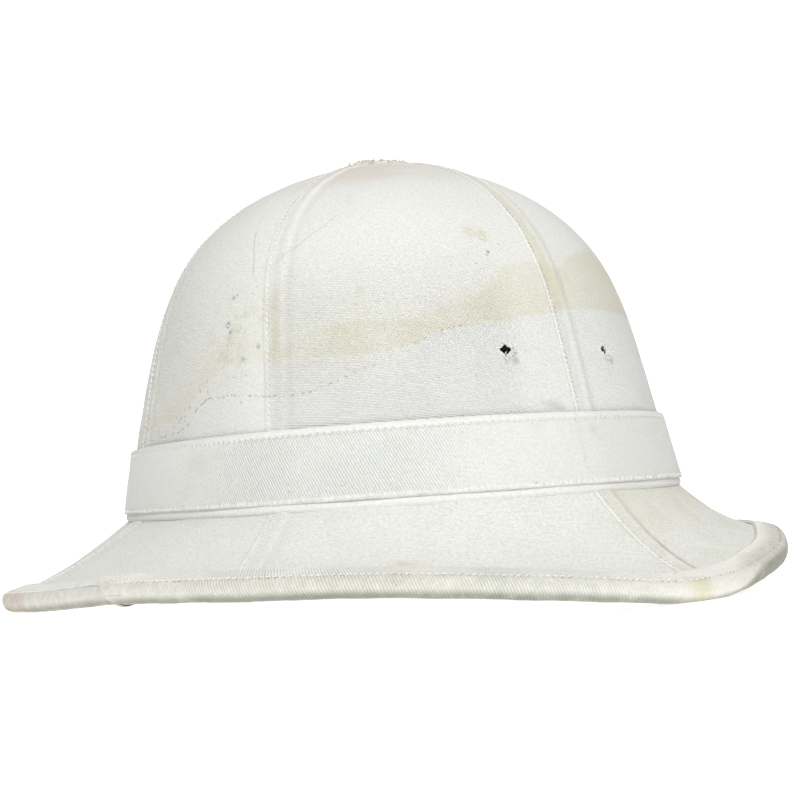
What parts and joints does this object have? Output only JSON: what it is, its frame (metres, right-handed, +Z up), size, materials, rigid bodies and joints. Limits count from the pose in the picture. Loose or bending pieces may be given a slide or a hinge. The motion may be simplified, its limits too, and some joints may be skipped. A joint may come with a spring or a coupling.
{
  "type": "pith helmet",
  "caption": "White cloth-covered sun helmet with a panelled crown, a plain hat band, a bound flaring brim with a pointed front and an open vent on top.",
  "frame": {"origin": "on the floor under the middle of the hat's bounding box, where the hat rests on its brim", "axes": "+Z up, -Y towards the pointed front of the brim, +X towards the wearer's left"},
  "size_m": [0.2872, 0.334, 0.1677],
  "materials": {
    "cover_cloth": "matte off-white drill cloth, stained",
    "band_twill": "matte white twill",
    "binding_twill": "matte white twill, soiled at the edge",
    "frayed_cloth": "matte, raw and dirty",
    "shell_lining": "matte pale grey lining on a stiff shell"
  },
  "bodies": {
    "root": {"crown_shell": "shell_lining", "brim_shell": "shell_lining", "crown_panel_front_left": "cover_cloth", "crown_panel_side_left": "cover_cloth", "crown_panel_rear_left": "cover_cloth", "crown_panel_rear_right": "cover_cloth", "crown_panel_side_right": "cover_cloth", "crown_panel_front_right": "cover_cloth", "brim_panel_front_left": "cover_cloth", "brim_panel_side_left": "cover_cloth", "brim_panel_rear_left": "cover_cloth", "brim_panel_rear_right": "cover_cloth", "brim_panel_side_right": "cover_cloth", "brim_panel_front_right": "cover_cloth", "hat_band": "band_twill", "under_band": "band_twill", "brim_binding": "binding_twill", "vent_collar": "frayed_cloth"}
  },
  "joints": []
}
